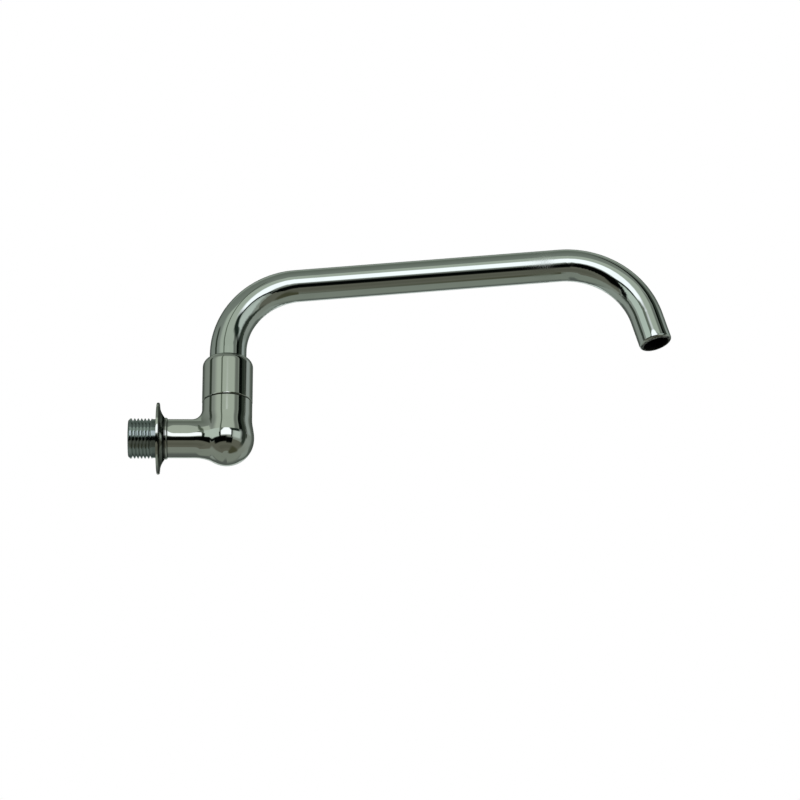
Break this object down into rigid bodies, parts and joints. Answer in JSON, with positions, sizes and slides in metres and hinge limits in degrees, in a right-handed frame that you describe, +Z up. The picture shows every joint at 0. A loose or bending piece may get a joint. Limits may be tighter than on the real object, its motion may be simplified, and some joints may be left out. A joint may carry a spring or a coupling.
{
  "type": "swivel tap spout",
  "caption": "Wall-mounted swivel spout for a tap: threaded inlet, round wall flange, elbow with a gland joint, lift-up cover sleeve and a long bent tube with an open outlet.",
  "frame": {"origin": "centre of the wall flange's flat back face, on the inlet's axis", "axes": "+X out of the wall along the inlet and, at rest, towards the outlet; +Z up the riser; +Y across the tube, to the left when looking from the outlet's end back to the wall with Z up"},
  "size_m": [0.2842, 0.0376, 0.1287],
  "materials": {
    "body_chrome": "polished",
    "flange_chrome": "polished",
    "sleeve_chrome": "polished",
    "tube_chrome": "polished",
    "gland_brass": "turned, unpolished",
    "stem_brass": "turned, unpolished",
    "seal_rubber": "matte",
    "washer_plastic": "satin",
    "ring_steel": "satin"
  },
  "bodies": {
    "wall_body": {"elbow_body": "body_chrome", "wall_flange": "flange_chrome", "gland_gasket": "seal_rubber", "gland_nut": "gland_brass"},
    "spout": {"swivel_stem": "stem_brass", "spout_tube": "tube_chrome", "lower_o_ring": "seal_rubber", "upper_o_ring": "seal_rubber", "retaining_ring": "ring_steel", "lower_glide_washer": "washer_plastic", "upper_glide_washer": "washer_plastic"},
    "sleeve": {"cover_sleeve": "sleeve_chrome"}
  },
  "joints": [
    {"name": "spout_swivel", "type": "hinge", "parent": "wall_body", "child": "spout", "pos_m": [0.0364, 0, 0], "axis": [0, 0, 1], "continuous": true},
    {"name": "sleeve_lift", "type": "slide", "parent": "spout", "child": "sleeve", "axis": [0, 0, 1], "range_m": [0, 0.008]}
  ]
}
